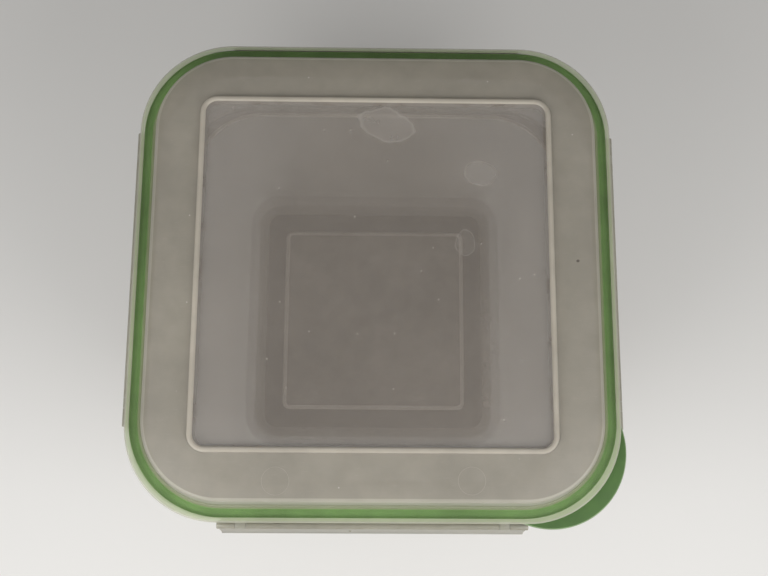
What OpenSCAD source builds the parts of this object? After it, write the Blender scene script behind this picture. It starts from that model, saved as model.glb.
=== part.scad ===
// Square food box with a sealed lid and four hinged latches.
// Millimetres, +Z up, origin on the table under the middle of the box, front towards -Y.

/* [Overall] */
// Width of the lid across its rim
lid_w = 199; // [180:1:230]
// Corner radius of the lid's rim
rim_corner_r = 38.5; // [30:0.5:42]
// Height of the bowl from the table to its sealing edge
bowl_h = 138.5; // [110:0.5:170]

/* [Bowl] */
// Wall and floor thickness
bowl_wall = 2; // [1.6:0.1:2.4]
// Inside width at the floor, before it is rounded into the walls
floor_w = 136; // [124:1:150]
// Rounding between the floor and the walls
floor_fillet = 8; // [5:0.5:10]
// Inside width of the lower walls at the ledge
ledge_w = 172; // [160:1:174]
// Inside corner radius of the lower walls at the ledge
ledge_corner_r = 32; // [26:1:36]
// Depth of the ledge under the sealing edge
ledge_depth = 42; // [34:1:60]
// Width of the ledge's flat
ledge_flat = 2.6; // [1.5:0.1:3.5]
// Width of the pushed-up square in the floor
push_up_w = 99; // [80:1:106]
// Corner radius of the pushed-up square
push_up_corner_r = 5; // [3:0.5:12]
// Rise of the pushed-up square
push_up_rise = 1; // [0.6:0.1:1.4]
// Slope of the pushed-up square's sides, in degrees
push_up_slope = 45; // [35:5:50]

/* [Catch apron] */
// Gap between the lid's skirt and the apron's flange
apron_gap = 1; // [0.6:0.1:2]
// Thickness of the apron and its flange
apron_wall = 1.8; // [1.4:0.1:2.2]
// Height of the apron at its inner face
apron_h = 15.6; // [13:0.1:18]
// How far the apron stands back from the lid's rim
apron_setback = 0.3; // [0.2:0.1:0.6]
// Slope of the catch face under the apron, in degrees
catch_slope = 38; // [36:1:44]
// Least room between the upper walls and the apron at the catch face
apron_room = 1; // [0.6:0.1:2]

/* [Lid] */
// Wall thickness of the lid
lid_wall = 1.6; // [1.3:0.1:2]
// Thickness of the skirt round the rim
skirt_wall = 1.5; // [1.2:0.1:2]
// Height of the skirt, from the rim's top to its lower edge
skirt_h = 11.4; // [10.5:0.1:14]
// Depth of the rib inside the seal channel, below the channel's roof
rib_h = 5.1; // [4:0.1:6]
// Rise of the raised top above the rim
dome_rise = 8.6; // [6:0.1:11]
// Lean of the wall round the raised top, in degrees
dome_lean = 14.5; // [8:0.5:25]
// How far that wall's foot stands out from the rib's inner face
dome_set_out = 0.64; // [0.4:0.02:0.9]
// Rounding at the top of that wall
dome_fillet = 2.2; // [2:0.1:3.5]
// Crown of the shoulder between that wall and the stacking bead
crown_rise = 1.2; // [0.5:0.1:2]
// Width of the level strip between the shoulder's crown and the bead
shoulder_flat = 2; // [1:0.5:4]
// Rounding of the rim's outer edge
rim_edge_r = 0.8; // [0.4:0.1:1]

/* [Stacking bead] */
// Width of the square bead, between its centre lines
bead_span = 142.2; // [124:0.2:146]
// Corner radius of the bead's centre line
bead_corner_r = 6; // [4:0.5:12]
// Thickness of the bead
bead_w = 2; // [1.4:0.1:2.6]
// Height of the bead above the shoulder
bead_rise = 1.8; // [1.2:0.1:2.4]
// How far the bead's inner side spreads at its foot
bead_slope = 0.7; // [0.3:0.1:1.2]
// How far the panel inside the bead lies below the shoulder
panel_drop = 0.7; // [0.4:0.1:1]

/* [Seal] */
// Width of the seal ring
seal_w = 4; // [3.4:0.1:4.6]
// Height of the seal ring with its rib
seal_h = 3; // [2.4:0.1:3.6]
// Height of the rib under the seal ring
seal_rib_h = 0.6; // [0.4:0.1:0.8]
// Width of the rib under the seal ring
seal_rib_w = 1.6; // [1.2:0.1:2]
// Thickness of the pull tab
tab_t = 1.5; // [1:0.1:1.8]
// Radius of the pull tab's round edge
tab_r = 30.8; // [28:0.1:32]
// How far the pull tab reaches past the rim, along the corner's diagonal
tab_reach = 6.5; // [3:0.5:7]

/* [Latches] */
// Length of each latch along its hinge
latch_len = 125.2; // [110:0.2:127]
// Thickness of the latch plate
latch_wall = 1.7; // [1.4:0.1:2]
// Height of the latch plate below the hinge
latch_drop = 26; // [25:0.5:30]
// How far the plate leans out over that height
latch_lean = 2.6; // [1.5:0.1:3.5]
// How far the plate's outer face stands out from the hinge line
plate_set_out = 1.1; // [0.9:0.05:1.3]
// How much further each end of the plate reaches at its foot
end_flare = 2.2; // [0:0.1:4]
// How far the finger lip flares out beyond the plate
lip_flare = 2.3; // [1:0.1:3]
// Height of the finger lip
lip_h = 4; // [3:0.5:5]
// How far the hook reaches under the apron
hook_reach = 1; // [0.6:0.1:1.2]
// Height of the hook's tip
hook_tip = 1; // [0.6:0.1:1.6]

/* [Hinges] */
// Radius of the hinge rod
rod_r = 0.85; // [0.7:0.05:0.95]
// Outer radius of the latch barrel and the lugs
barrel_r = 1.55; // [1.45:0.05:1.8]
// Distance between the two lugs
lug_spread = 106; // [84:1:107]
// Width of each lug
lug_w = 4; // [3:0.5:6]
// How far the rod runs past the lugs
rod_overrun = 4; // [2:0.5:5]
// Width of the snap opening in the barrel
snap_w = 1.4; // [1.2:0.1:1.6]
// Direction of the snap opening below straight inward, in degrees
snap_tilt = 20; // [0:5:40]

/* [Fits] */
// Play on each side of the seal ring in its channel
seal_play = 0.1; // [0.05:0.05:0.2]
// Gap between the sealing edge and the seal
seal_gap = 0.1; // [0.05:0.05:0.3]
// Running clearance between rod and barrel, on the radius
rod_play = 0.08; // [0.04:0.02:0.1]
// Gap beside each lug and round the lug
lug_play = 0.3; // [0.2:0.1:0.5]
// Gap between the barrel and the skirt
barrel_gap = 0.2; // [0.15:0.05:0.4]
// Gap between the hook and the catch face
hook_gap = 0.25; // [0.2:0.05:0.4]
// Gap round the pull tab where it leaves the skirt
tab_play = 0.3; // [0.2:0.1:0.5]

/* [Hidden] */
$fn = 64;
// Overlap where shapes are joined or cut, and the corner radius of flat plates that close a wall
over = 1;
plate_r = 3;

// Half widths, counted from the middle of the box
rim_half = lid_w / 2;
core = rim_half - rim_corner_r;
skirt_in = rim_half - skirt_wall;
seal_out = skirt_in - seal_play;
seal_in = seal_out - seal_w;
seal_mid = (seal_in + seal_out) / 2;
rib_out = seal_in - seal_play;
rib_in = rib_out - lid_wall;

// Heights
seal_z = bowl_h + seal_gap;
roof_z = seal_z + seal_h;
rim_z = roof_z + lid_wall;
skirt_z = rim_z - skirt_h;
flange_z = skirt_z - apron_gap;
catch_z = flange_z - apron_h;
ledge_z = bowl_h - ledge_depth;
dome_z = rim_z + dome_rise;
shoulder_z = dome_z + crown_rise;
panel_z = shoulder_z - panel_drop;

// Upper walls of the bowl, and the apron that hangs clear of them
collar_foot = ledge_w / 2 + ledge_flat;
collar_lean = atan((seal_mid - bowl_wall / 2 - collar_foot) / ledge_depth);
collar_out = collar_foot + bowl_wall / cos(collar_lean) + (catch_z - ledge_z) * tan(collar_lean);
apron_out = max(rim_half - apron_setback, collar_out + apron_room + apron_wall);
apron_in = apron_out - apron_wall;

// Hinge line, the same on all four sides
hinge_half = apron_out + apron_setback + barrel_gap + barrel_r;
hinge_z = skirt_z + barrel_r + barrel_gap;
lug_places = [-lug_spread / 2, lug_spread / 2];
rod_len = lug_spread + lug_w + 2 * rod_overrun;

// Points along a round stretch of an outline
function arc(x, y, r, from, to, steps = 6) =
    [for (i = [0:steps]) let (a = from + (to - from) * i / steps) [x + r * cos(a), y + r * sin(a)]];

// Square with round corners, as a flat outline
module round_square(half, r) {
    straight = half - r;
    square([2 * half, 2 * straight], center = true);
    square([2 * straight, 2 * half], center = true);
    for (x = [-straight, straight], y = [-straight, straight])
        translate([x, y]) circle(r);
}

// Carries a wall section round the box; the section's x is the half width, its y the height
module sweep(centre) {
    for (turn = [0:90:270]) rotate(turn) {
        translate([centre, centre, 0])
            rotate_extrude(angle = 90) translate([-centre, 0]) children();
        side_strip(2 * centre) children();
    }
}

// Runs a section straight along the side that faces +X
module side_strip(len) {
    translate([0, len / 2, 0]) rotate([90, 0, 0]) linear_extrude(len) children();
}

// A cylinder along the side that faces +X, on the hinge line
module on_hinge(r, len, place = 0) {
    translate([hinge_half, place, hinge_z]) rotate([90, 0, 0]) cylinder(r = r, h = len, center = true);
}

// Block with round corners and leaning sides
module frustum(half, r, rise, lean) {
    straight = half - r;
    spread = rise * tan(lean);
    for (x = [-straight, straight], y = [-straight, straight])
        translate([x, y, 0]) cylinder(r1 = r, r2 = r - spread, h = rise);
    for (turn = [0, 90]) rotate(turn) side_strip(2 * straight)
        polygon([[-half, 0], [half, 0], [half - spread, rise], [spread - half, rise]]);
}

// Lower walls: straight lines from the rounded floor up to the ledge
wall_core = min(ledge_w / 2 - ledge_corner_r, floor_w / 2 - floor_fillet - bowl_wall);
wall_lean = atan((ledge_w - floor_w) / 2 / (ledge_z - bowl_wall));
fillet_x = floor_w / 2 - floor_fillet * tan(45 - wall_lean / 2);
fillet_z = bowl_wall + floor_fillet;
module lower_wall_section() {
    polygon(concat(
        [[wall_core + over, bowl_wall], [wall_core + over, 0]],
        arc(fillet_x, fillet_z, floor_fillet + bowl_wall, -90, -wall_lean, 8),
        [[ledge_w / 2 + bowl_wall / cos(wall_lean), ledge_z], [ledge_w / 2, ledge_z]],
        arc(fillet_x, fillet_z, floor_fillet, -wall_lean, -90, 8)
    ));
}

// Upper walls: from the ledge to the round sealing edge
edge_r = bowl_wall / 2;
module collar_section() {
    foot_shift = bowl_wall * tan(collar_lean);
    polygon(concat(
        [[collar_foot - foot_shift, ledge_z - bowl_wall],
         [collar_foot - foot_shift + bowl_wall / cos(collar_lean), ledge_z - bowl_wall]],
        arc(seal_mid, bowl_h - edge_r, edge_r, -collar_lean, 180 - collar_lean, 10),
        [[collar_foot, ledge_z]]
    ));
}

// Apron that hangs round the bowl and carries the catch face for the latches
flange_in = collar_foot + bowl_wall / 2 + (flange_z - apron_wall - ledge_z) * tan(collar_lean);
module apron_section() {
    polygon([
        [flange_in, flange_z],
        [apron_out - rim_edge_r, flange_z],
        [apron_out, flange_z - rim_edge_r],
        [apron_out, catch_z + apron_wall * tan(catch_slope)],
        [apron_in, catch_z],
        [apron_in, flange_z - apron_wall],
        [flange_in, flange_z - apron_wall]
    ]);
}

module bowl() {
    push_half = push_up_w / 2;
    color([0.80, 0.81, 0.79, 0.5]) difference() {
        union() {
            sweep(wall_core) lower_wall_section();
            linear_extrude(bowl_wall) round_square(wall_core + plate_r, plate_r);
            translate([0, 0, ledge_z - bowl_wall]) linear_extrude(bowl_wall) difference() {
                round_square(collar_foot + bowl_wall / 2, collar_foot + bowl_wall / 2 - core);
                round_square(ledge_w / 2, ledge_w / 2 - wall_core);
            }
            sweep(core) collar_section();
            sweep(core) apron_section();
            translate([0, 0, bowl_wall]) frustum(push_half + bowl_wall, push_up_corner_r + bowl_wall,
                push_up_rise, push_up_slope);
        }
        translate([0, 0, -over]) linear_extrude(over) square(2 * lid_w, center = true);
        frustum(push_half, push_up_corner_r, push_up_rise, push_up_slope);
    }
}

// Section of the lid from the skirt over the rim, up the leaning wall and along the shoulder
dome_half = rib_in + dome_set_out;
dome_corner = dome_half - dome_rise * tan(dome_lean);
dome_x = dome_corner - dome_fillet * tan(45 - dome_lean / 2);
bead_half = bead_span / 2;
shoulder_end = max(bead_half + bead_w / 2 + shoulder_flat, core + plate_r);
crown_lean = atan(crown_rise / (dome_x - shoulder_end));
module lid_section() {
    under_r = dome_fillet - lid_wall;
    wall_in = dome_half + lid_wall * tan(dome_lean) - lid_wall / cos(dome_lean);
    polygon(concat(
        [[skirt_in, skirt_z], [rim_half, skirt_z]],
        arc(rim_half - rim_edge_r, rim_z - rim_edge_r, rim_edge_r, 0, 90, 4),
        [[dome_half, rim_z]],
        arc(dome_x, dome_z - dome_fillet, dome_fillet, dome_lean, 90 - crown_lean),
        [[shoulder_end, shoulder_z], [core + over, shoulder_z]],
        [[core + over, shoulder_z - lid_wall], [shoulder_end, shoulder_z - lid_wall]],
        arc(dome_x, dome_z - dome_fillet, under_r, 90 - crown_lean, dome_lean),
        [[wall_in, roof_z], [rib_in, roof_z - over], [rib_in, roof_z - rib_h]],
        [[rib_out, roof_z - rib_h], [rib_out, roof_z], [skirt_in, roof_z]]
    ));
}

module bead_section() {
    foot_in = bead_half - bead_w / 2 - bead_slope;
    polygon(concat(
        [[foot_in, panel_z - over], [bead_half + bead_w / 2, panel_z - over]],
        arc(bead_half, shoulder_z + bead_rise - bead_w / 2, bead_w / 2, 0, 180, 8),
        [[foot_in, panel_z]]
    ));
}

// Lugs and rod of one hinge, on the side that faces +X
module hinge_side() {
    on_hinge(rod_r, rod_len);
    for (place = lug_places) {
        on_hinge(barrel_r, lug_w, place);
        translate([skirt_in + skirt_wall / 2, place - lug_w / 2, hinge_z - barrel_r])
            cube([hinge_half - skirt_in - skirt_wall / 2, lug_w, 2 * barrel_r]);
    }
}

module lid() {
    color([0.83, 0.83, 0.80, 0.55]) {
        difference() {
            union() {
                sweep(core) lid_section();
                translate([0, 0, shoulder_z - lid_wall]) linear_extrude(lid_wall)
                    round_square(core + plate_r, plate_r);
                translate([0, 0, panel_z - lid_wall]) linear_extrude(lid_wall)
                    round_square(bead_half, bead_corner_r);
            }
            translate([0, 0, panel_z]) linear_extrude(panel_drop + over)
                round_square(bead_half - bead_w / 2, bead_corner_r - bead_w / 2);
            translate([0, 0, skirt_z - over]) linear_extrude(tab_top - skirt_z + over + tab_play)
                tab_notch();
        }
        sweep(bead_half - bead_corner_r) bead_section();
        for (turn = [0:90:270]) rotate(turn) hinge_side();
    }
}

// Pull tab: a round flap at the front right corner, level with the seal ring
tab_z = seal_z + seal_rib_h;
tab_top = tab_z + tab_t;
tab_place = core + (rim_corner_r + tab_reach - tab_r) / sqrt(2);
module tab_outline(margin) {
    translate([tab_place, -tab_place]) circle(tab_r + margin);
}
module tab_notch() {
    difference() {
        tab_outline(tab_play);
        round_square(skirt_in - over / 2, skirt_in - over / 2 - core);
    }
}

module seal_section() {
    polygon([
        [seal_in, roof_z],
        [seal_in, seal_z + seal_rib_h],
        [seal_mid - seal_rib_w / 2, seal_z + seal_rib_h],
        [seal_mid - seal_rib_w / 4, seal_z],
        [seal_mid + seal_rib_w / 4, seal_z],
        [seal_mid + seal_rib_w / 2, seal_z + seal_rib_h],
        [seal_out, seal_z + seal_rib_h],
        [seal_out, roof_z]
    ]);
}

module gasket() {
    color([0.36, 0.66, 0.22]) {
        sweep(core) seal_section();
        translate([0, 0, tab_z]) linear_extrude(tab_t) difference() {
            tab_outline(0);
            round_square(seal_out - over, seal_out - over - core);
        }
    }
}

// Section of a latch below its barrel: plate, finger lip and the hook under the apron
foot_z = hinge_z - latch_drop;
module latch_section() {
    top_out = hinge_half + plate_set_out;
    foot_out = top_out + latch_lean;
    lip_round = latch_wall / 4;
    lip_z = foot_z + lip_h;
    lip_out = foot_out - latch_lean * lip_h / latch_drop;
    hook_in = apron_out - hook_reach;
    hook_out = top_out - latch_wall + latch_lean * (hinge_z - catch_z) / latch_drop;
    face_z = catch_z - hook_gap / cos(catch_slope);
    hook_z = face_z + (hook_in - apron_in) * tan(catch_slope);
    polygon([
        [top_out, hinge_z],
        [lip_out, lip_z],
        [foot_out + lip_flare, foot_z + 2 * lip_round],
        [foot_out + lip_flare - lip_round, foot_z],
        [foot_out + lip_flare - latch_wall, foot_z + lip_round],
        [lip_out - latch_wall, lip_z + lip_round],
        [hook_in, hook_z - hook_tip],
        [hook_in, hook_z],
        [hook_out, face_z + (hook_out - apron_in) * tan(catch_slope)],
        [top_out - latch_wall, hinge_z]
    ]);
}

// Front view of a latch, spreading towards its foot
module latch_front() {
    end = latch_len / 2;
    translate([hinge_half - lid_w, 0, 0]) rotate([90, 0, 90]) linear_extrude(2 * lid_w) polygon([
        [-end, hinge_z + 2 * barrel_r],
        [-end, hinge_z - barrel_r],
        [-end - end_flare, foot_z - over],
        [end + end_flare, foot_z - over],
        [end, hinge_z - barrel_r],
        [end, hinge_z + 2 * barrel_r]
    ]);
}

// One latch, on the side that faces +X
module latch() {
    bore_r = rod_r + rod_play;
    slot_r = barrel_r + lug_play;
    difference() {
        intersection() {
            union() {
                on_hinge(barrel_r, latch_len);
                side_strip(latch_len + 2 * end_flare) latch_section();
            }
            latch_front();
        }
        on_hinge(bore_r, rod_len + 2 * lug_play);
        translate([hinge_half, 0, hinge_z]) rotate([0, -180 - snap_tilt, 0])
            translate([0, -rod_len / 2 - lug_play, -snap_w / 2])
                cube([2 * barrel_r, rod_len + 2 * lug_play, snap_w]);
        for (place = lug_places)
            on_hinge(slot_r, lug_w + 2 * lug_play, place);
    }
}

module latch_at(turn) {
    color([0.74, 0.75, 0.72, 0.65]) rotate(turn) latch();
}

bowl();
lid();
gasket();
latch_at(-90);  // latch_front
latch_at(90);  // latch_back
latch_at(180);  // latch_left
latch_at(0);  // latch_right
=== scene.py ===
"""Looks of the square latch-lid food box: smooth mouldings, frosted and clear plastic, a green seal."""
import math

import bmesh
import bpy
from mathutils import Matrix, Vector


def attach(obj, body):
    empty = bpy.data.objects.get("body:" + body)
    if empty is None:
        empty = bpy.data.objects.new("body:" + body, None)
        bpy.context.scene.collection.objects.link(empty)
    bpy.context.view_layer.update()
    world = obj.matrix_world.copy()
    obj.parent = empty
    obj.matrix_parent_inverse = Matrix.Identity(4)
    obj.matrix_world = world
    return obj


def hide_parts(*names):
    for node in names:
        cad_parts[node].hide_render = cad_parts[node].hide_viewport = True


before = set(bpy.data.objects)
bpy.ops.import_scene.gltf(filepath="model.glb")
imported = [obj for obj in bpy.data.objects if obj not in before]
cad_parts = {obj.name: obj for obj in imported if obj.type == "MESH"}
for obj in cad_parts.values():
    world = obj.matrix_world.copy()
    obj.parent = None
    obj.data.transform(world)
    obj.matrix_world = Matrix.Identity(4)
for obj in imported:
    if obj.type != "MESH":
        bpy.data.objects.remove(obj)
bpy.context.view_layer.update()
MM = 0.001

# Driving sizes of the whole, in millimetres
LID_W = 199.0
RIM_CORNER_R = 38.5
# How much further in the middles of the seal and dome corners lie
CORNER_INSET = 1.8
BOWL_H = 138.5

# Bowl
BOWL_WALL = 2.0
FLOOR_W = 136.0
FLOOR_FILLET = 8.0
LEDGE_W = 172.0
LEDGE_CORNER_R = 32.0
LEDGE_DEPTH = 42.0
LEDGE_FLAT = 2.6
LEDGE_EDGE = 1.4
LEDGE_ROUND = 0.8
PUSH_UP_W = 99.0
PUSH_UP_CORNER_R = 2.4
PUSH_UP_RISE = 1.0
PUSH_UP_ROUND = 0.4
RIDGE_W = 0.7
UNDER_ROUND = 0.3
COLLAR_ROUND = 0.9
COLLAR_UNDER_ROUND = 1.0
MOUTH_ROUND = 0.95
WALL_TOP_ROUND = 0.6
APRON_GAP = 1.0
APRON_WALL = 1.8
APRON_H = 15.6
APRON_SETBACK = 0.3
APRON_ROUND = 0.8
APRON_FILLET = 0.5
CATCH_SLOPE = math.radians(38)
CATCH_ROUND = 0.3

# Lid
LID_WALL = 1.6
SKIRT_WALL = 1.5
SKIRT_H = 11.4
SKIRT_ROUND = 0.4
RIM_ROUND = 0.8
# Borders of the clear cover over the seal, counted from the seal and from the skirt
COVER_IN = 0.2
COVER_OUT = 0.5
CHANNEL_ROUND = 0.2
RIB_H = 5.1
RIB_ROUND = 0.5
RIB_BLEND = 1.0
DOME_RISE = 8.6
DOME_LEAN = math.radians(14.5)
DOME_SET_OUT = 0.64
DOME_FILLET = 2.2
DOME_FOOT_ROUND = 0.7
CROWN_RISE = 1.2
SHOULDER_FLAT = 2.0
BEAD_SPAN = 142.2
BEAD_CORNER_R = 6.0
BEAD_W = 2.0
BEAD_RISE = 1.8
BEAD_SLOPE = 0.7
BEAD_ROUND = 0.9
BEAD_FOOT_ROUND = 0.5
BEAD_UNDER_ROUND = 0.3
PANEL_DROP = 0.7
PANEL_ROUND = 0.4

# Seal
SEAL_W = 4.0
SEAL_H = 3.0
SEAL_RIB_H = 0.6
SEAL_RIB_W = 1.6
SEAL_ROUND = 0.25
TAB_T = 1.5
TAB_R = 30.8
TAB_REACH = 6.5
TAB_OVERLAP = 0.6
# How far in from the tab's rim the painted highlight on its round edge reaches, as a share of the edge's
# radius
TAB_HIGHLIGHT_SHARE = 0.6

# Latches and hinges
LATCH_LEN = 125.2
LATCH_WALL = 1.7
LATCH_DROP = 26.0
LATCH_LEAN = 4.6
PLATE_SET_OUT = 1.1
END_FLARE = 2.2
LIP_FLARE = 0.3
LIP_H = 4.0
LIP_BEND = 1.5
LIP_BACK_BEND = 1.0
LIP_ROUND = 0.35
HOOK_REACH = 1.0
HOOK_TIP = 1.0
HOOK_ROUND = 0.3
HOOK_ROOT_ROUND = 0.5
LATCH_EDGE = 0.25
ROD_R = 0.85
BARREL_R = 1.55
LUG_SPREAD = 106.0
LUG_W = 4.0
ROD_OVERRUN = 4.0
HINGE_EDGE = 0.2
SNAP_W = 1.4
SNAP_TILT = 20

# Fits
SEAL_PLAY = 0.1
SEAL_GAP = 0.1
ROD_PLAY = 0.08
LUG_PLAY = 0.12
BARREL_GAP = 0.2
HOOK_GAP = 0.25
TAB_PLAY = 0.3
CUT_PAST = 1.0

# Half widths and heights that follow from them; a core is half of the straight stretch of a side
RIM = LID_W / 2
CORE = RIM - RIM_CORNER_R
SEAL_CORE = CORE - CORNER_INSET
SKIRT_IN = RIM - SKIRT_WALL
SEAL_OUT = SKIRT_IN - SEAL_PLAY
SEAL_IN = SEAL_OUT - SEAL_W
SEAL_MID = (SEAL_IN + SEAL_OUT) / 2
RIB_OUT = SEAL_IN - SEAL_PLAY
RIB_IN = RIB_OUT - LID_WALL
APRON_OUT = RIM - APRON_SETBACK
APRON_IN = APRON_OUT - APRON_WALL
SEAL_Z = BOWL_H + SEAL_GAP
ROOF_Z = SEAL_Z + SEAL_H
RIM_Z = ROOF_Z + LID_WALL
SKIRT_Z = RIM_Z - SKIRT_H
FLANGE_Z = SKIRT_Z - APRON_GAP
CATCH_Z = FLANGE_Z - APRON_H
LEDGE_Z = BOWL_H - LEDGE_DEPTH
DOME_Z = RIM_Z + DOME_RISE
SHOULDER_Z = DOME_Z + CROWN_RISE
PANEL_Z = SHOULDER_Z - PANEL_DROP
HINGE = RIM + BARREL_GAP + BARREL_R
HINGE_Z = SKIRT_Z + BARREL_R + BARREL_GAP
TAB_Z = SEAL_Z + SEAL_RIB_H
TAB_PLACE = CORE + (RIM_CORNER_R + TAB_REACH - TAB_R) / math.sqrt(2)
ROD_LEN = LUG_SPREAD + LUG_W + 2 * ROD_OVERRUN
LUG_PLACES = (-LUG_SPREAD / 2, LUG_SPREAD / 2)
SIDES = {"right": 0, "back": 90, "left": 180, "front": 270}

# Steps of the round shapes, and how their edges are shaded, in degrees
CORNER_STEPS = 20
FILLET_STEPS = 6
ROUND_STEPS = 40
END_STEPS = 3
LUG_STEPS = 16
BORE_STEPS = 28
GATE_STEPS = 20
LINE_STEPS = 8
TAB_STEPS = 72
TAB_EDGE_STEPS = 10
BEVEL_STEPS = 3
BEVEL_ANGLE = 35
LOFT_SHADE = 32
BEVEL_SHADE = 40
TAB_SHADE = 50
FILLET_SHARE = 0.49
LEAST_CORNER_R = 0.05
LEAST_MITRE = 0.5


# Mesh helpers
def rounded(corners, closed):
    """Points of an outline whose corners are (x, z, fillet radius, label); fillet points keep the label."""
    out = []
    for i, (x, z, r, label) in enumerate(corners):
        if r <= 0 or (not closed and i in (0, len(corners) - 1)):
            out.append((x, z, label))
            continue
        corner = Vector((x, z))
        d0 = Vector(corners[i - 1][:2]) - corner
        d1 = Vector(corners[(i + 1) % len(corners)][:2]) - corner
        half_angle = d0.angle(d1) / 2
        reach = min(r / math.tan(half_angle), FILLET_SHARE * d0.length, FILLET_SHARE * d1.length)
        r = reach * math.tan(half_angle)
        d0.normalize()
        d1.normalize()
        centre = corner + (d0 + d1).normalized() * (r / math.sin(half_angle))
        start = corner + d0 * reach - centre
        end = corner + d1 * reach - centre
        sweep = math.atan2(start.x * end.y - start.y * end.x, start.dot(end))
        for step in range(FILLET_STEPS + 1):
            p = Matrix.Rotation(sweep * step / FILLET_STEPS, 2) @ start + centre
            out.append((p.x, p.y, label))
    return out


def arc(x, z, r, start, end, steps):
    """Points of a round stretch, from one angle to another, in degrees."""
    angles = [math.radians(start + (end - start) * i / steps) for i in range(steps + 1)]
    return [(x + r * math.cos(a), z + r * math.sin(a)) for a in angles]


def full_circle(x, z, r, steps=ROUND_STEPS):
    """Points of a whole circle."""
    return arc(x, z, r, 0, 360, steps)[:-1]


def station_ring(half, z, core):
    """Points of a square with round corners, anticlockwise, at one height."""
    core = min(core, half - LEAST_CORNER_R)
    points = []
    for quarter in range(4):
        cx = core * (1 if quarter in (0, 3) else -1)
        cy = core * (1 if quarter in (0, 1) else -1)
        for step in range(CORNER_STEPS + 1):
            a = (quarter + step / CORNER_STEPS) * math.pi / 2
            points.append((cx + (half - core) * math.cos(a), cy + (half - core) * math.sin(a), z))
    return points


def new_object(name, bm, materials):
    """Turns a bmesh into an object with these materials."""
    bmesh.ops.recalc_face_normals(bm, faces=bm.faces)
    mesh = bpy.data.meshes.new(name)
    bm.to_mesh(mesh)
    bm.free()
    for material in materials:
        mesh.materials.append(material)
    piece = bpy.data.objects.new(name, mesh)
    bpy.context.scene.collection.objects.link(piece)
    return piece


def shade(piece, angle=LOFT_SHADE):
    """Smooth shading that keeps edges sharper than the angle."""
    mesh = piece.data
    mesh.polygons.foreach_set("use_smooth", [True] * len(mesh.polygons))
    mesh.set_sharp_from_angle(angle=math.radians(angle))
    return piece


def bridge(bm, rings, zones, loop):
    """Faces between neighbouring rings of vertices; each band takes its zone as material."""
    count = len(rings[0])
    for i in range(len(rings) if loop else len(rings) - 1):
        here, there = rings[i], rings[(i + 1) % len(rings)]
        for k in range(count):
            face = bm.faces.new((here[k], there[k], there[(k + 1) % count], here[(k + 1) % count]))
            face.material_index = zones[i]


def loft(name, section, materials, loop):
    """Carries a section of (half, z, fillet, (core, zone)) round the box: a loop, or capped."""
    stations = rounded(section, loop)
    bm = bmesh.new()
    rings = []
    for half, z, (core, _) in stations:
        rings.append([bm.verts.new(Vector(p) * MM) for p in station_ring(half, z, core)])
    zones = [label[1] for _, _, label in stations]
    bridge(bm, rings, zones, loop)
    if not loop:
        bm.faces.new(rings[0]).material_index = zones[0]
        bm.faces.new(rings[-1]).material_index = zones[-1]
    return shade(new_object(name, bm, materials))


def drawn_in(outline, by):
    """An outline of (x, z), drawn in by a distance on all sides."""
    points = [Vector(p[:2]) for p in outline]
    ahead = points[1:] + points[:1]
    turn = math.copysign(1.0, sum(p.x * q.y - q.x * p.y for p, q in zip(points, ahead)))
    out = []
    for before, here, after in zip(points[-1:] + points[:-1], points, ahead):
        d0, d1 = (here - before).normalized(), (after - here).normalized()
        inward = Vector((-d0.y - d1.y, d0.x + d1.x)).normalized() * turn
        reach = max(LEAST_MITRE, inward.dot(Vector((-d0.y, d0.x))) * turn)
        out.append(here + inward * by / reach)
    return out


def prism(name, outline, start, end, materials=(), flare=None, edge=0.0):
    """Runs an outline of (x, z) along Y; flare(z) draws each end out, and edge rounds its outline."""
    bm = bmesh.new()
    flare = flare or (lambda z: 0.0)
    turns = [math.pi / 2 * i / END_STEPS for i in range(END_STEPS + 1)] if edge else [0.0]
    cuts = [(edge * (1 - math.cos(a)), edge * (1 - math.sin(a))) for a in turns]
    places = [(by, start + back) for by, back in reversed(cuts)] + [(by, end - back) for by, back in cuts]
    rings = []
    for by, y in places:
        ring = []
        for x, z in drawn_in(outline, by):
            ring.append(bm.verts.new(Vector((x, y + math.copysign(flare(z), y), z)) * MM))
        rings.append(ring)
    bridge(bm, rings, [0] * len(rings), False)
    bm.faces.new(rings[0])
    bm.faces.new(rings[-1])
    return new_object(name, bm, materials)


def bake(piece):
    """Turns a piece's modifiers into mesh."""
    graph = bpy.context.evaluated_depsgraph_get()
    mesh = bpy.data.meshes.new_from_object(piece.evaluated_get(graph))
    piece.modifiers.clear()
    piece.data = mesh
    return piece


def combine(piece, other, operation):
    """Joins another piece to this one, or cuts it away, and drops the other."""
    modifier = piece.modifiers.new("combine", "BOOLEAN")
    modifier.operation = operation
    modifier.object = other
    modifier.solver = "EXACT"
    bake(piece)
    bpy.data.objects.remove(other)
    return piece


def soften(piece, width):
    """Rounds every sharp edge a little."""
    modifier = piece.modifiers.new("soften", "BEVEL")
    modifier.width = width * MM
    modifier.segments = BEVEL_STEPS
    modifier.limit_method = "ANGLE"
    modifier.angle_limit = math.radians(BEVEL_ANGLE)
    modifier.use_clamp_overlap = True
    return shade(bake(piece), BEVEL_SHADE)


def turned_copy(piece, name, degrees):
    """A copy of a piece, turned about the box's upright axis."""
    mesh = piece.data.copy()
    mesh.transform(Matrix.Rotation(math.radians(degrees), 4, "Z"))
    copy = bpy.data.objects.new(name, mesh)
    bpy.context.scene.collection.objects.link(copy)
    return copy
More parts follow.
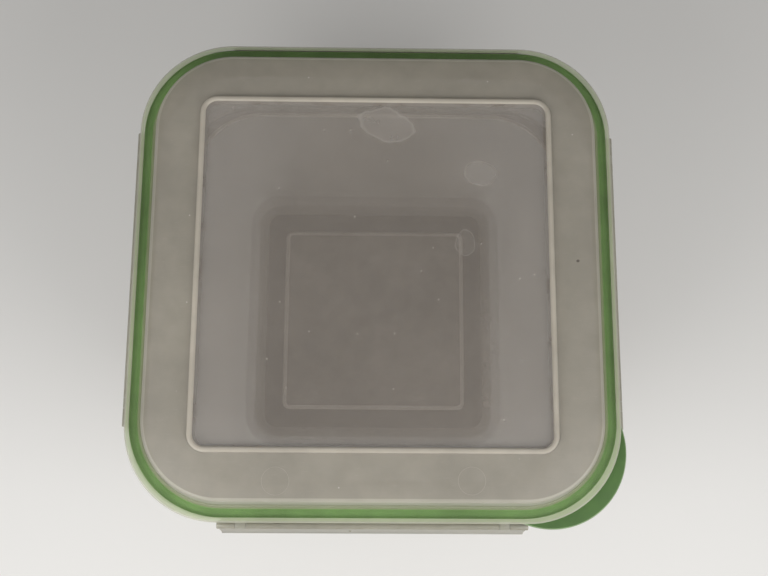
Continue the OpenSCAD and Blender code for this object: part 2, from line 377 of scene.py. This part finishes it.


# Marks of use, and painted shade in brown patches; a blot is ((middle), (length, width), turn in degrees,
# roundness, strength)
BLOT_DEPTH = 0.9
BLOT_EDGE_SCALE = 170.0
BLOT_UNEVEN = 0.16
WATER_PATCHES = (((4.0, 60.8, PANEL_Z), (24.6, 14.6), -14, 1.5, 1.0),
                 ((42.8, 40.6, PANEL_Z), (13.0, 10.6), -12, 2.2, 0.6),
                 ((36.4, 11.4, PANEL_Z), (8.0, 11.0), 0, 2.0, 0.6))
DARK_CRUMBS = (((81.8, 4.3, 152.4), (1.6, 1.3), 20, 2.0, 0.85),
               ((-44.7, -27.1, PANEL_Z), (1.1, 0.9), 0, 2.0, 0.85))
WATER_FILM = 0.26
WATER_LINE = 0.36
# Stretches of a blot's field, over which a film, a line or a crumb comes up or fades
FILM_FADE = (0.94, 1.0)
LINE_RISE = (0.78, 0.92)
LINE_FADE = (0.98, 1.14)
CRUMB_FADE = (0.6, 1.0)
DUST_SCALE = 85.0
DUST_COVER = 0.7
DUST_SIZE = (0.016, 0.034)
DUST_RARE = (0.72, 0.74)
# Painted shade in brown patches on the bead's inner wall, where it meets the panel
CREASE_SHADE_SCALE = 48.0
CREASE_SHADE_COVER = 0.85
CREASE_SHADE_RARE = (0.50, 0.62)
WATER_PALE = (0.66, 0.62, 0.57, 1)
SCUFF_PALE = (0.55, 0.52, 0.47, 1)
DUST_PALE = (0.70, 0.67, 0.61, 1)
CRUMB_DARK = (0.06, 0.045, 0.03, 1)
CREASE_SHADE_BROWN = (0.17, 0.125, 0.085, 1)


# Materials
PLASTIC_IOR = 1.49
MILK_TINT = (1.0, 0.95, 0.85)
MILK_DEPTH = 2.5
CLOUD_SCALE = 22.0
MOTTLE_SCALE = 140.0
GRAIN_SCALE = 1100.0
GRAIN_DEPTH = 0.2
GLOSS_SPREAD = 0.15
SCUFF_STRETCH = (260.0, 1900.0, 600.0)
SCUFF_TURN = 0.6
SCUFF_RARE = (0.62, 0.78)


def node(tree, kind, settings=(), **inputs):
    """A shader node with its settings made, then some of its inputs set or linked."""
    made = tree.nodes.new("ShaderNode" + kind)
    for key, value in settings:
        setattr(made, key, value)
    for key, value in inputs.items():
        socket = made.inputs[int(key[1:])] if key[0] == "_" else made.inputs[key.replace("_", " ")]
        if isinstance(value, bpy.types.NodeSocket):
            tree.links.new(value, socket)
        else:
            socket.default_value = value
    return made


def spread(tree, value, low, high, start=0.3, stop=0.7):
    """Carries the range from start to stop over to low and high."""
    made = node(tree, "MapRange", Value=value, From_Min=start, From_Max=stop, To_Min=low, To_Max=high)
    return made.outputs["Result"]


def product(tree, first, second):
    """Two values, multiplied."""
    return node(tree, "Math", [("operation", "MULTIPLY")], _0=first, _1=second).outputs["Value"]


def blend(tree, share, first, second):
    """The first colour, covered by a share of the second."""
    return node(tree, "MixRGB", Fac=share, Color1=first, Color2=second).outputs["Color"]


def blot_field(tree, place, blot):
    """Grows from 0 in the middle of a blot to 1 at its uneven outline, and on beyond it."""
    (x, y, z), (length, width), turn, power, _ = blot
    spot = node(tree, "Mapping", [("vector_type", "TEXTURE")], Vector=place,
                Location=Vector((x, y, z)) * MM, Rotation=(0, 0, math.radians(turn)),
                Scale=Vector((length / 2, width / 2, BLOT_DEPTH)) * MM).outputs["Vector"]
    size = node(tree, "VectorMath", [("operation", "ABSOLUTE")], _0=spot).outputs["Vector"]
    axes = node(tree, "SeparateXYZ", Vector=size).outputs
    total = 0.0
    for axis in axes:
        raised = node(tree, "Math", [("operation", "POWER")], _0=axis, _1=power).outputs["Value"]
        total = node(tree, "Math", [("operation", "ADD")], _0=raised, _1=total).outputs["Value"]
    ragged = node(tree, "TexNoise", Vector=place, Scale=BLOT_EDGE_SCALE, Detail=1.0).outputs["Fac"]
    return product(tree, total, spread(tree, ragged, 1 - BLOT_UNEVEN, 1 + BLOT_UNEVEN))


def dried_water(tree, place, base):
    """Patches left by dried drops: a thin pale outline round a faint film."""
    for blot in WATER_PATCHES:
        field = blot_field(tree, place, blot)
        film = spread(tree, field, WATER_FILM * blot[-1], 0.0, *FILM_FADE)
        inner = spread(tree, field, 0.0, 1.0, *LINE_RISE)
        outer = spread(tree, field, WATER_LINE * blot[-1], 0.0, *LINE_FADE)
        base = blend(tree, film, base, WATER_PALE)
        base = blend(tree, product(tree, inner, outer), base, WATER_PALE)
    return base


def specks(tree, place, base):
    """A few dark crumbs, and pale dust in scattered dots."""
    flat = [("voronoi_dimensions", "2D")]
    cells = node(tree, "TexVoronoi", flat, Vector=place, Scale=DUST_SCALE).outputs
    dots = spread(tree, cells["Distance"], DUST_COVER, 0.0, *DUST_SIZE)
    some = spread(tree, cells["Color"], 0.0, 1.0, *DUST_RARE)
    base = blend(tree, product(tree, dots, some), base, DUST_PALE)
    for blot in DARK_CRUMBS:
        field = blot_field(tree, place, blot)
        base = blend(tree, spread(tree, field, blot[-1], 0.0, *CRUMB_FADE), base, CRUMB_DARK)
    return base


def crease_shade(tree, place, base):
    """Painted shade in brown patches, for the bead's inner wall where it meets the panel."""
    patches = node(tree, "TexNoise", Vector=place, Scale=CREASE_SHADE_SCALE, Detail=5.0).outputs["Fac"]
    return blend(tree, spread(tree, patches, 0.0, CREASE_SHADE_COVER, *CREASE_SHADE_RARE), base, CREASE_SHADE_BROWN)


def plastic(name, colour, rough, alpha, cloud=0.07, grain=0.05, scuff=0.0, gloss=0.5, milk=0.4, marks=()):
    """Moulded plastic: clouded colour, uneven gloss, grain, scuffs; alpha hides, milk scatters within."""
    made = bpy.data.materials.new(name)
    made.use_nodes = True
    tree = made.node_tree
    shader = tree.nodes["Principled BSDF"]
    shader.inputs["IOR"].default_value = PLASTIC_IOR
    shader.inputs["Alpha"].default_value = alpha
    shader.inputs["Specular IOR Level"].default_value = gloss
    shader.inputs["Subsurface Weight"].default_value = milk
    shader.inputs["Subsurface Radius"].default_value = MILK_TINT
    shader.inputs["Subsurface Scale"].default_value = MILK_DEPTH * MM
    place = node(tree, "TexCoord").outputs["Object"]
    broad = node(tree, "TexNoise", Vector=place, Scale=CLOUD_SCALE, Detail=4.0).outputs["Fac"]
    mottle = node(tree, "TexNoise", Vector=place, Scale=MOTTLE_SCALE, Detail=3.0).outputs["Fac"]
    fine = node(tree, "TexNoise", Vector=place, Scale=GRAIN_SCALE, Detail=2.0).outputs["Fac"]
    shade_of = product(tree, spread(tree, broad, 1 - cloud, 1 + cloud),
                       spread(tree, mottle, 1 - cloud / 2, 1 + cloud / 2))
    tint = node(tree, "VectorMath", [("operation", "SCALE")], _0=colour, Scale=shade_of)
    base = tint.outputs["Vector"]
    if scuff:
        stretch = node(tree, "Mapping", Vector=place, Scale=SCUFF_STRETCH, Rotation=(0, 0, SCUFF_TURN))
        streaks = node(tree, "TexNoise", Vector=stretch.outputs["Vector"], Scale=1.0, Detail=3.0)
        lines = spread(tree, streaks.outputs["Fac"], 0.0, scuff, *SCUFF_RARE)
        base = blend(tree, lines, base, SCUFF_PALE)
    for mark in marks:
        base = mark(tree, place, base)
    tree.links.new(base, shader.inputs["Base Color"])
    uneven = spread(tree, mottle, rough * (1 - GLOSS_SPREAD), rough * (1 + GLOSS_SPREAD))
    tree.links.new(uneven, shader.inputs["Roughness"])
    relief = node(tree, "Bump", Height=fine, Strength=grain, Distance=GRAIN_DEPTH * MM)
    tree.links.new(relief.outputs["Normal"], shader.inputs["Normal"])
    return made


cover_plastic = plastic("rim_over_seal", (0.344, 0.344, 0.284), 0.34, 0.06)
edge_plastic = plastic("rim_edge", (0.490, 0.545, 0.365), 0.34, 0.66)
skirt_plastic = plastic("skirt", (0.552, 0.556, 0.445), 0.34, 0.56)
step_foot = plastic("step_foot", (0.330, 0.360, 0.212), 0.36, 0.56)
step_plastic = plastic("step_wall", (0.500, 0.500, 0.400), 0.36, 0.62)
# The dome's round top edge is paler than the shoulder: a painted highlight line along the bend.
dome_bend_highlight = plastic("dome_bend_highlight", (0.440, 0.415, 0.350), 0.36, 0.70)
shoulder_plastic = plastic("shoulder", (0.356, 0.328, 0.271), 0.42, 0.66, cloud=0.09, scuff=0.12,
                           marks=(specks,))
bead_plastic = plastic("stacking_bead", (0.470, 0.430, 0.364), 0.34, 0.84, cloud=0.10)
# The bead's inner wall is less clear than the panel and carries brown patches of painted shade.
bead_inside_shaded = plastic("bead_inside_shaded", (0.310, 0.280, 0.245), 0.34, 0.45, marks=(crease_shade,))
panel_plastic = plastic("panel", (0.310, 0.277, 0.244), 0.20, 0.35, cloud=0.08, grain=0.03,
                        scuff=0.12, marks=(dried_water, specks))
floor_square = plastic("floor_square", (0.374, 0.333, 0.294), 0.22, 0.62, cloud=0.20, milk=0.0)
floor_ridge = plastic("floor_ridge", (0.636, 0.585, 0.525), 0.34, 0.76, milk=0.0)
# The ring where the bowl's floor stands is far darker than the wall: painted shade of the floor contact.
floor_ring_painted_shade = plastic("floor_ring_painted_shade", (0.216, 0.193, 0.174), 0.22, 0.72, cloud=0.14, milk=0.0)
# The floor's round bend is a step darker than the wall: painted shade fading from the dark ring into the
# wall.
bend_painted_shade = plastic("floor_bend", (0.372, 0.335, 0.295), 0.22, 0.50, cloud=0.10, milk=0.0)
wall_plastic = plastic("bowl_wall", (0.490, 0.443, 0.387), 0.22, 0.37, milk=0.0)
# The ledge's round inner edge is much paler than the wall: a painted highlight line.
ledge_edge_highlight = plastic("ledge_edge_highlight", (0.820, 0.765, 0.685), 0.22, 0.72, milk=0.0)
# The ledge is paler than the wall: painted light that lifts the shade it lies in under the lid.
ledge_painted_light = plastic("bowl_ledge_painted_light", (0.620, 0.575, 0.510), 0.22, 0.52, milk=0.0)
apron_plastic = plastic("bowl_apron", (0.396, 0.378, 0.327), 0.34, 0.50, milk=0.0)
latch_plastic = plastic("latch", (0.338, 0.324, 0.264), 0.36, 0.76, cloud=0.09, scuff=0.10, milk=0.8)
hinge_plastic = plastic("hinge", (0.353, 0.344, 0.284), 0.34, 0.80, milk=0.8)
# The seal ring's green is far brighter than the tab's, though both are one rubber: painted light that makes
# up for the shade under the lid's cover.
seal_green = plastic("seal_green", (0.195, 0.350, 0.106), 0.46, 1.0, cloud=0.14, grain=0.10, gloss=0.25)
tab_green = plastic("seal_tab_green", (0.068, 0.140, 0.037), 0.46, 1.0, cloud=0.16, grain=0.10, gloss=0.25)
# The tab's round edge is much paler than the tab: a painted highlight.
tab_rim_highlight = plastic("seal_tab_rim_highlight", (0.208, 0.288, 0.160), 0.42, 1.0, cloud=0.10, grain=0.10, gloss=0.25)

# Lid
BEAD = BEAD_SPAN / 2
BEAD_CORE = BEAD - BEAD_CORNER_R
BEAD_IN = BEAD - BEAD_W / 2
BEAD_OUT = BEAD + BEAD_W / 2
BEAD_TOP = SHOULDER_Z + BEAD_RISE
DOME_HALF = RIB_IN + DOME_SET_OUT
DOME_CORNER = DOME_HALF - DOME_RISE * math.tan(DOME_LEAN)
FLAT_HALF = BEAD_OUT + SHOULDER_FLAT
WALL_BACK = LID_WALL / math.cos(DOME_LEAN)
UNDER_SHIFT = LID_WALL * math.tan(DOME_LEAN) - WALL_BACK
# Where the zones of the step wall change, as shares of its height from the top
STEP_START = 0.28
STEP_FOOT = 0.72
EJECTOR_MARKS = (("left", -37.6, -82.9), ("right", 38.1, -82.5))
EJECTOR_R = 5.3
EJECTOR_LINE = 0.36
EJECTOR_SINK = 0.4
# Half width of the small square that closes a loft in the middle
CENTRE_CAP = 2.0


def build_lid():
    cover, edge, skirt, foot, step, bend, shoulder, bead, inside, panel = range(10)

    def on_step(share):
        return DOME_CORNER + share * (DOME_HALF - DOME_CORNER), DOME_Z - share * DOME_RISE

    step_x, step_z = on_step(STEP_START)
    foot_x, foot_z = on_step(STEP_FOOT)
    section = [
        (CENTRE_CAP, PANEL_Z, 0, (0.0, panel)),
        (BEAD_IN - BEAD_SLOPE, PANEL_Z, PANEL_ROUND, (BEAD_CORE, inside)),
        (BEAD_IN, BEAD_TOP, BEAD_ROUND, (BEAD_CORE, bead)),
        (BEAD_OUT, BEAD_TOP, BEAD_ROUND, (BEAD_CORE, bead)),
        (BEAD_OUT, SHOULDER_Z, BEAD_FOOT_ROUND, (BEAD_CORE, shoulder)),
        (FLAT_HALF, SHOULDER_Z, 0, (SEAL_CORE, shoulder)),
        # The bend zone takes the paler plastic of the painted highlight.
        (DOME_CORNER, DOME_Z, DOME_FILLET, (SEAL_CORE, bend)),
        (step_x, step_z, 0, (SEAL_CORE, step)),
        (foot_x, foot_z, 0, (SEAL_CORE, foot)),
        (DOME_HALF, RIM_Z, DOME_FOOT_ROUND, (SEAL_CORE, foot)),
        (SEAL_IN + COVER_IN, RIM_Z, 0, (SEAL_CORE, cover)),
        (SKIRT_IN - COVER_OUT, RIM_Z, 0, (SEAL_CORE, edge)),
        (RIM, RIM_Z, RIM_ROUND, (CORE, skirt)),
        (RIM, SKIRT_Z, SKIRT_ROUND, (CORE, skirt)),
        (SKIRT_IN, SKIRT_Z, SKIRT_ROUND, (CORE, skirt)),
        (SKIRT_IN, ROOF_Z, CHANNEL_ROUND, (CORE, cover)),
        (RIB_OUT, ROOF_Z, CHANNEL_ROUND, (SEAL_CORE, edge)),
        (RIB_OUT, ROOF_Z - RIB_H, RIB_ROUND, (SEAL_CORE, skirt)),
        (RIB_IN, ROOF_Z - RIB_H, RIB_ROUND, (SEAL_CORE, skirt)),
        (RIB_IN, ROOF_Z - RIB_BLEND, RIB_ROUND, (SEAL_CORE, foot)),
        (DOME_HALF + UNDER_SHIFT, ROOF_Z, RIB_ROUND, (SEAL_CORE, foot)),
        (foot_x + UNDER_SHIFT, foot_z - LID_WALL, 0, (SEAL_CORE, step)),
        (step_x + UNDER_SHIFT, step_z - LID_WALL, 0, (SEAL_CORE, shoulder)),
        (DOME_CORNER + UNDER_SHIFT, DOME_Z - LID_WALL, DOME_FILLET - LID_WALL, (SEAL_CORE, shoulder)),
        (FLAT_HALF, SHOULDER_Z - LID_WALL, 0, (SEAL_CORE, shoulder)),
        (BEAD_OUT, SHOULDER_Z - LID_WALL, BEAD_UNDER_ROUND, (BEAD_CORE, bead)),
        (BEAD, PANEL_Z - LID_WALL, PANEL_ROUND, (BEAD_CORE, panel)),
        (CENTRE_CAP, PANEL_Z - LID_WALL, 0, (0.0, panel)),
    ]
    lid = loft("lid_moulding", section, [
        cover_plastic, edge_plastic, skirt_plastic, step_foot, step_plastic, dome_bend_highlight, shoulder_plastic,
        bead_plastic, bead_inside_shaded, panel_plastic], False)
    shade(combine(lid, tab_notch(), "DIFFERENCE"))
    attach(lid, "lid")
    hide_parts("lid")


def build_ejector_marks():
    """Faint raised rings that the mould's ejector pins leave on the front shoulder, in the paler plastic of
    the dome bend's painted highlight.
    """
    slope = CROWN_RISE / (DOME_CORNER - FLAT_HALF)
    for side, x, y in EJECTOR_MARKS:
        bm = bmesh.new()
        rings = []
        for i in range(ROUND_STEPS):
            a = 2 * math.pi * i / ROUND_STEPS
            ring = []
            for r, z in full_circle(EJECTOR_R, -EJECTOR_SINK * EJECTOR_LINE, EJECTOR_LINE / 2, LINE_STEPS):
                ahead = r * math.sin(a)
                height = SHOULDER_Z - (abs(y) - ahead - FLAT_HALF) * slope + z
                ring.append(bm.verts.new(Vector((x + r * math.cos(a), y + ahead, height)) * MM))
            rings.append(ring)
        bridge(bm, rings, [0] * ROUND_STEPS, True)
        mark = shade(new_object("ejector_mark_" + side, bm, [dome_bend_highlight]))
        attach(mark, "lid")


def lug_outline():
    """A lug, seen from the end of the hinge, with its root inside the skirt."""
    back = RIM - SKIRT_WALL / 2
    return arc(HINGE, HINGE_Z, BARREL_R, -90, 90, LUG_STEPS) + [
        (back, HINGE_Z + BARREL_R), (back, HINGE_Z - BARREL_R)]


def build_hinges():
    """Two lugs and the rod they carry, on each side of the lid."""
    rod = prism("rod", full_circle(HINGE, HINGE_Z, ROD_R), -ROD_LEN / 2, ROD_LEN / 2, [hinge_plastic])
    for place in LUG_PLACES:
        lug = prism("lug", lug_outline(), place - LUG_W / 2, place + LUG_W / 2, [hinge_plastic])
        combine(rod, lug, "UNION")
    soften(rod, HINGE_EDGE)
    for side, degrees in SIDES.items():
        hinge = turned_copy(rod, "lid_hinge_" + side, degrees)
        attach(hinge, "lid")
    bpy.data.objects.remove(rod)


# Seal
def build_seal():
    rib = [(SEAL_MID - SEAL_RIB_W / 2, TAB_Z), (SEAL_MID - SEAL_RIB_W / 4, SEAL_Z),
           (SEAL_MID + SEAL_RIB_W / 4, SEAL_Z), (SEAL_MID + SEAL_RIB_W / 2, TAB_Z)]
    inner = [(SEAL_IN, ROOF_Z), (SEAL_IN, TAB_Z), *rib]
    outer = [(SEAL_OUT, TAB_Z), (SEAL_OUT, ROOF_Z)]
    section = [(x, z, SEAL_ROUND, (SEAL_CORE, 0)) for x, z in inner]
    section += [(x, z, SEAL_ROUND, (CORE, 0)) for x, z in outer]
    seal = loft("seal_ring", section, [seal_green], True)
    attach(seal, "lid")
    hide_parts("gasket")


def corner_side(point, half, core):
    """The nearest place on a round-cornered square outline."""
    corner = Vector((max(-core, min(core, point.x)), max(-core, min(core, point.y))))
    return corner + (point - corner).normalized() * (half - core)


def crescent(name, half, core, edge, materials):
    """A flap between an outline of the lid and the tab's circle; edge lists (radius, z) of its outer rim."""
    middle = Vector((TAB_PLACE, -TAB_PLACE))
    least = min(r for r, _ in edge)
    reach = math.degrees(math.acos((half - TAB_PLACE) / least))
    bm = bmesh.new()
    rings = []
    for i in range(TAB_STEPS + 1):
        a = math.radians(reach - (2 * reach + 90) * i / TAB_STEPS)
        away = Vector((math.cos(a), math.sin(a)))
        inner = corner_side(middle + away * least, half, core)
        outline = [(inner, edge[0][1]), *((middle + away * r, z) for r, z in edge), (inner, edge[-1][1])]
        rings.append([bm.verts.new(Vector((p.x, p.y, z)) * MM) for p, z in outline])
    bridge(bm, rings, [0] * TAB_STEPS, False)
    bm.faces.new(rings[0])
    bm.faces.new(rings[-1])
    return new_object(name, bm, materials)


def build_tab():
    """The flap by which the seal is pulled out, with its round edge painted pale as a highlight."""
    r = TAB_T / 2
    edge = [(TAB_R - r + x, z) for x, z in arc(0, TAB_Z + r, r, -90, 90, TAB_EDGE_STEPS)]
    tab = crescent("seal_pull_tab", SEAL_OUT - TAB_OVERLAP, SEAL_CORE, edge, [tab_green, tab_rim_highlight])
    middle = Vector((TAB_PLACE, -TAB_PLACE)) * MM
    # Faces on the outer part of the round edge take the painted highlight.
    for face in tab.data.polygons:
        face.material_index = int((face.center.to_2d() - middle).length > (TAB_R - TAB_HIGHLIGHT_SHARE * r) * MM)
    shade(tab, TAB_SHADE)
    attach(tab, "lid")


def tab_notch():
    """The opening in the lid's skirt that lets the tab out."""
    r = TAB_R + TAB_PLAY
    edge = [(r, SKIRT_Z - CUT_PAST), (r, TAB_Z + TAB_T + TAB_PLAY)]
    return crescent("notch", SKIRT_IN - COVER_OUT, CORE, edge, [])


# Bowl
MOUTH_IN = SEAL_MID - BOWL_WALL / 2
COLLAR_FOOT = LEDGE_W / 2 + LEDGE_FLAT
COLLAR_LEAN = math.atan((MOUTH_IN - COLLAR_FOOT) / LEDGE_DEPTH)
COLLAR_BACK = BOWL_WALL / math.cos(COLLAR_LEAN)
LEDGE = LEDGE_W / 2
FLOOR = FLOOR_W / 2
PUSH = PUSH_UP_W / 2
WALL_CORE = LEDGE - LEDGE_CORNER_R
PUSH_CORE = PUSH - PUSH_UP_CORNER_R
WALL_LEAN = math.atan((LEDGE - FLOOR) / (LEDGE_Z - BOWL_WALL))
OUT_BACK = BOWL_WALL / math.cos(WALL_LEAN) - BOWL_WALL * math.tan(WALL_LEAN)


def collar_out(z):
    """Half width of the collar's outer face at a height."""
    return COLLAR_FOOT + COLLAR_BACK + (z - LEDGE_Z) * math.tan(COLLAR_LEAN)


def floor_bend(half, z, r, inner, outer):
    """The round bend from the floor into the wall, in two stretches with a zone each."""
    turn = math.pi / 2 - WALL_LEAN
    x = half - r * math.tan(turn / 2)
    reach = r / math.cos(turn / 4)
    places = [-math.pi / 2 + turn / 4, -math.pi / 2 + 3 * turn / 4]
    corners = [(x + reach * math.cos(a), z + r + reach * math.sin(a)) for a in places]
    return [(*corners[0], r, (WALL_CORE, inner)), (*corners[1], r, (WALL_CORE, outer))]


def build_bowl():
    square, ridge, ring, bend, wall, edge, ledge, apron = range(8)
    under = FLANGE_Z - APRON_WALL
    ledge_under = LEDGE_Z - BOWL_WALL
    pad = PUSH + BOWL_WALL
    pad_z = BOWL_WALL + PUSH_UP_RISE
    section = [
        (CENTRE_CAP, pad_z, 0, (0.0, square)),
        (pad - PUSH_UP_RISE - 2 * RIDGE_W, pad_z, 0, (PUSH_CORE, ridge)),
        (pad - PUSH_UP_RISE, pad_z, PUSH_UP_ROUND, (PUSH_CORE, ridge)),
        (pad, BOWL_WALL, PUSH_UP_ROUND, (PUSH_CORE, ring)),
        *floor_bend(FLOOR, BOWL_WALL, FLOOR_FILLET, bend, wall),
        # The ledge's round inner edge takes the painted highlight.
        (LEDGE, LEDGE_Z, LEDGE_ROUND, (WALL_CORE, edge)),
        (LEDGE + LEDGE_EDGE, LEDGE_Z, 0, (WALL_CORE, ledge)),
        (COLLAR_FOOT, LEDGE_Z, COLLAR_ROUND, (CORE, wall)),
        (MOUTH_IN, BOWL_H, MOUTH_ROUND, (CORE, apron)),
        (MOUTH_IN + BOWL_WALL, BOWL_H, MOUTH_ROUND, (CORE, wall)),
        (collar_out(FLANGE_Z), FLANGE_Z, APRON_FILLET, (CORE, apron)),
        (APRON_OUT, FLANGE_Z, APRON_ROUND, (CORE, apron)),
        (APRON_OUT, CATCH_Z + APRON_WALL * math.tan(CATCH_SLOPE), CATCH_ROUND, (CORE, apron)),
        (APRON_IN, CATCH_Z, CATCH_ROUND, (CORE, apron)),
        (APRON_IN, under, APRON_FILLET, (CORE, apron)),
        (collar_out(under), under, APRON_FILLET, (CORE, wall)),
        (collar_out(ledge_under), ledge_under, COLLAR_UNDER_ROUND, (CORE, ledge)),
        (LEDGE + OUT_BACK, ledge_under, WALL_TOP_ROUND, (WALL_CORE, wall)),
        *reversed(floor_bend(FLOOR + OUT_BACK, 0.0, FLOOR_FILLET + BOWL_WALL, bend, bend)),
        (FLOOR - FLOOR_FILLET, 0.0, 0, (WALL_CORE, ring)),
        (PUSH, 0.0, UNDER_ROUND, (PUSH_CORE, square)),
        (PUSH - PUSH_UP_RISE, PUSH_UP_RISE, UNDER_ROUND, (PUSH_CORE, square)),
        (CENTRE_CAP, PUSH_UP_RISE, 0, (0.0, square)),
    ]
    bowl = loft("bowl_moulding", section, [
        floor_square, floor_ridge, floor_ring_painted_shade, bend_painted_shade, wall_plastic, ledge_edge_highlight, ledge_painted_light,
        apron_plastic], False)
    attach(bowl, "bowl")
    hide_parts("bowl")


# Latches
PLATE_START = 1.35 * BARREL_R
BARREL_ARC = (262, -42)
GATE_PLACE = -9.4
GATE_DROP = 14.0
GATE_R = 0.45


def latch_outline():
    """Barrel, plate, finger lip and hook, seen from the end of a latch."""
    slope = LATCH_LEAN / LATCH_DROP
    top_out = HINGE + PLATE_SET_OUT
    foot_out = top_out + LATCH_LEAN
    foot_z = HINGE_Z - LATCH_DROP
    lip_z = foot_z + LIP_H
    lip_out = foot_out - slope * LIP_H
    lip_tip = foot_out + LIP_FLARE
    lip_step = LATCH_WALL / 4
    hook_in = APRON_OUT - HOOK_REACH
    hook_out = top_out - LATCH_WALL + slope * (HINGE_Z - CATCH_Z)
    face_z = CATCH_Z - HOOK_GAP / math.cos(CATCH_SLOPE)
    hook_z = face_z + (hook_in - APRON_IN) * math.tan(CATCH_SLOPE)
    plate = [
        (top_out + slope * BARREL_R, HINGE_Z - PLATE_START, 0, None),
        (lip_out, lip_z, LIP_BEND, None),
        (lip_tip, foot_z + 2 * lip_step, LIP_ROUND, None),
        (lip_tip - lip_step, foot_z, LIP_ROUND, None),
        (lip_tip - LATCH_WALL, foot_z + lip_step, LIP_ROUND, None),
        (lip_out - LATCH_WALL, lip_z + lip_step, LIP_BACK_BEND, None),
        (hook_in, hook_z - HOOK_TIP, HOOK_ROUND, None),
        (hook_in, hook_z, HOOK_ROUND, None),
        (hook_out, face_z + (hook_out - APRON_IN) * math.tan(CATCH_SLOPE), HOOK_ROOT_ROUND, None),
        (top_out - LATCH_WALL + slope * BARREL_R, HINGE_Z - PLATE_START, 0, None),
    ]
    return arc(HINGE, HINGE_Z, BARREL_R, *BARREL_ARC, ROUND_STEPS) + rounded(plate, False)


def keyhole_outline():
    """The rod's bore with the snap opening that leads to it."""
    r = ROD_R + ROD_PLAY
    facing = 180 + SNAP_TILT
    half = math.degrees(math.asin(SNAP_W / 2 / r))
    away = Vector((math.cos(math.radians(facing)), math.sin(math.radians(facing))))
    across = Vector((-away.y, away.x)) * SNAP_W / 2
    centre = Vector((HINGE, HINGE_Z))
    ends = [centre + away * 2 * BARREL_R - across, centre + away * 2 * BARREL_R + across]
    return arc(HINGE, HINGE_Z, r, facing + half, facing + 360 - half, BORE_STEPS) + [tuple(p) for p in ends]


def build_latches():
    def flare(z):
        """How far each end of the plate reaches further at a height."""
        return END_FLARE * max(0.0, HINGE_Z - BARREL_R - z) / (LATCH_DROP - BARREL_R)

    end = LATCH_LEN / 2
    latch = prism("latch", latch_outline(), -end, end, [latch_plastic], flare, LATCH_EDGE)
    free = ROD_LEN / 2 + LUG_PLAY
    combine(latch, prism("bore", keyhole_outline(), -free, free), "DIFFERENCE")
    slot = full_circle(HINGE, HINGE_Z, BARREL_R + LUG_PLAY)
    half = LUG_W / 2 + LUG_PLAY
    for place in LUG_PLACES:
        combine(latch, prism("slot", slot, place - half, place + half), "DIFFERENCE")
    gate_x = HINGE + PLATE_SET_OUT + LATCH_LEAN * GATE_DROP / LATCH_DROP
    gate = full_circle(gate_x, HINGE_Z - GATE_DROP, GATE_R, GATE_STEPS)
    combine(latch, prism("gate", gate, GATE_PLACE - GATE_R, GATE_PLACE + GATE_R), "UNION")
    shade(latch, BEVEL_SHADE)
    for side, degrees in SIDES.items():
        piece = turned_copy(latch, "latch_moulding_" + side, degrees)
        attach(piece, "latch_" + side)
        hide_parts("latch_" + side)
    bpy.data.objects.remove(latch)


# Stage, light and camera
FLOOR_SIZE = 6.0
# The floor lies a little below the base, because faces in one plane render with noise
FLOOR_GAP = 0.05
FLOOR_PALE = (0.80, 0.79, 0.77, 1)
FLOOR_ROUGH = 0.7
SKY_TINT = (1.0, 0.99, 0.97, 1)
SKY_STRENGTH = 0.31
KEY_SIDES = {"key_left": -1, "key_right": 1}
KEY_PLACE = Vector((0.31, -0.29, 0.44))
KEY_TARGET = Vector((0.04, -0.03, 0.14))
KEY_SIZE = 0.34
KEY_WATTS = 1.62
CAMERA_AT = Vector((-0.39, -64.79, 486.97)) * MM
CAMERA_TILT, CAMERA_ROLL, CAMERA_YAW = (math.radians(a) for a in (9.732, -0.699, 0.479))
FOCAL_PIXELS = 850.0
FRAME_PIXELS = 768.0
SENSOR = 36.0
CLIP_START = 0.01


def build_stage():
    bm = bmesh.new()
    bmesh.ops.create_grid(bm, x_segments=1, y_segments=1, size=FLOOR_SIZE / 2)
    made = bpy.data.materials.new("pale_floor")
    made.use_nodes = True
    shader = made.node_tree.nodes["Principled BSDF"]
    shader.inputs["Base Color"].default_value = FLOOR_PALE
    shader.inputs["Roughness"].default_value = FLOOR_ROUGH
    bmesh.ops.translate(bm, verts=bm.verts, vec=(0, 0, -FLOOR_GAP * MM))
    new_object("floor", bm, [made])


def area_light(name, place, target, size, watts):
    lamp = bpy.data.lights.new(name, "AREA")
    lamp.size = size
    lamp.energy = watts
    made = bpy.data.objects.new(name, lamp)
    made.location = place
    made.rotation_euler = (target - place).to_track_quat("-Z", "Y").to_euler()
    made.visible_camera = False
    bpy.context.scene.collection.objects.link(made)


def build_light():
    world = bpy.data.worlds.new("studio")
    bpy.context.scene.world = world
    world.use_nodes = True
    sky = world.node_tree.nodes["Background"]
    sky.inputs["Color"].default_value = SKY_TINT
    sky.inputs["Strength"].default_value = SKY_STRENGTH
    for name, way in KEY_SIDES.items():
        mirror = Vector((way, 1, 1))
        area_light(name, KEY_PLACE * mirror, KEY_TARGET * mirror, KEY_SIZE, KEY_WATTS)


def build_camera():
    camera = bpy.data.objects.new("camera", bpy.data.cameras.new("camera"))
    camera.data.sensor_width = SENSOR
    camera.data.lens = FOCAL_PIXELS / FRAME_PIXELS * SENSOR
    camera.data.clip_start = CLIP_START
    turn = Matrix.Rotation(CAMERA_TILT, 4, "X") @ Matrix.Rotation(CAMERA_ROLL, 4, "Y")
    turn = turn @ Matrix.Rotation(CAMERA_YAW, 4, "Z")
    camera.matrix_world = Matrix.Translation(CAMERA_AT) @ turn
    bpy.context.scene.collection.objects.link(camera)
    bpy.context.scene.camera = camera


build_lid()
build_ejector_marks()
build_hinges()
build_seal()
build_tab()
build_bowl()
build_latches()
build_stage()
build_light()
build_camera()
bpy.context.scene.view_settings.view_transform = "Standard"
